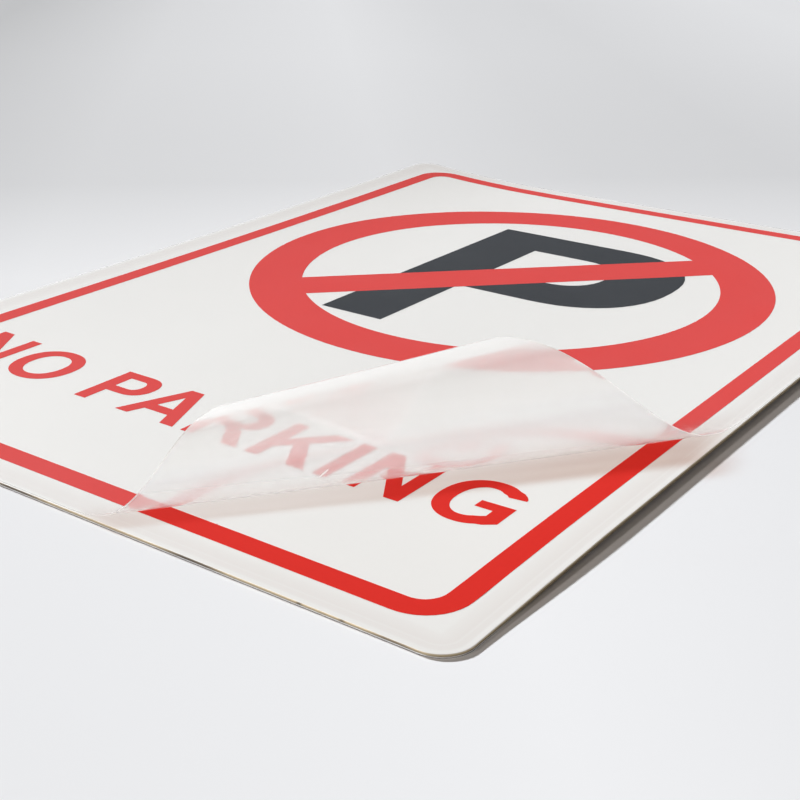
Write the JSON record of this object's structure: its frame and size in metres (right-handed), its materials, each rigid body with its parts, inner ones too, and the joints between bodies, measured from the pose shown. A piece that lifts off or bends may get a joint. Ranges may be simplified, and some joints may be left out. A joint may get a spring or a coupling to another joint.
{
  "type": "road sign",
  "caption": "Flat no parking sign on a thin aluminium plate, with its protective film peeled back at one corner.",
  "frame": {"origin": "middle of the plate's outline, on the flat surface that the sign lies on", "axes": "+X along the words, +Y to the top of the sign, +Z out of its printed face"},
  "size_m": [0.254, 0.3556, 0.0376],
  "materials": {
    "painted_sheet": "satin",
    "clear_film": "gloss"
  },
  "bodies": {
    "root": {"sign_plate": "painted_sheet", "protective_film": "clear_film"}
  },
  "joints": []
}
